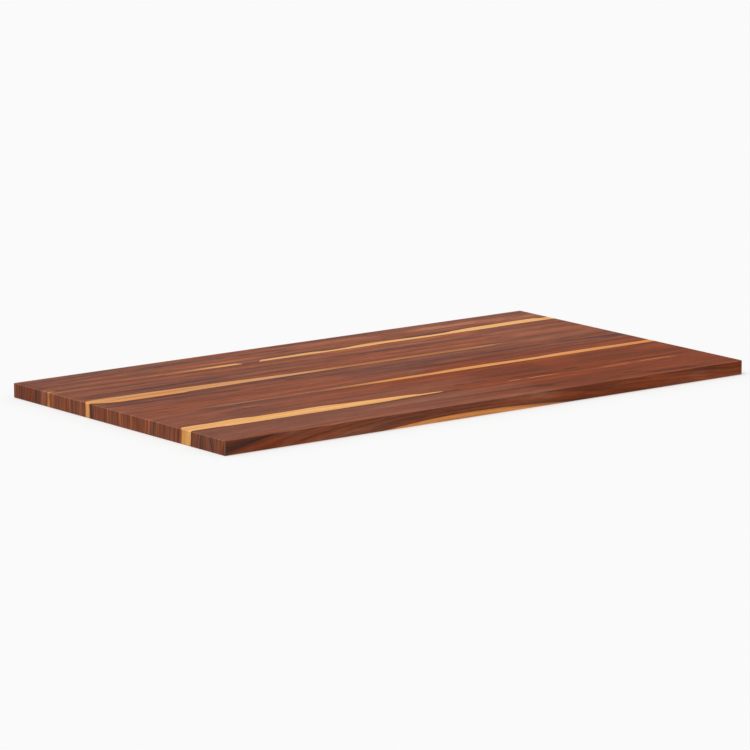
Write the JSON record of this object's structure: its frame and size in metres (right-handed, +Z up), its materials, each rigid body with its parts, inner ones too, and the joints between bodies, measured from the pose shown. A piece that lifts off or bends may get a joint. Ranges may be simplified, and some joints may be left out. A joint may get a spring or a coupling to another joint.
{
  "type": "hardwood desk top",
  "caption": "Solid hardwood desk top: full-length staves of unequal width, glued edge to edge, with sapwood streaks along the joints and softly eased edges.",
  "frame": {"origin": "centre of the underside, the flat face that rests on or is screwed to a desk frame", "axes": "+X along the staves and the grain, to the right of someone sitting at the front edge; +Y from the front edge to the back edge; +Z up through the thickness"},
  "size_m": [1.397, 0.762, 0.0318],
  "materials": {
    "back_stave_wood": "satin oil on red-brown heartwood, with a yellow sapwood streak along its front joint",
    "back_middle_stave_wood": "satin oil on red-brown heartwood, with a tan sapwood wedge along its front joint",
    "middle_stave_wood": "satin oil on red-brown heartwood with grey-brown bands and an orange sapwood streak along its front joint",
    "front_middle_stave_wood": "satin oil on red-brown heartwood, with a pale yellow sapwood wedge along its front joint",
    "front_stave_wood": "satin oil on plain purple-brown to red-brown heartwood"
  },
  "bodies": {
    "root": {"back_stave": "back_stave_wood", "back_middle_stave": "back_middle_stave_wood", "middle_stave": "middle_stave_wood", "front_middle_stave": "front_middle_stave_wood", "front_stave": "front_stave_wood"}
  },
  "joints": []
}
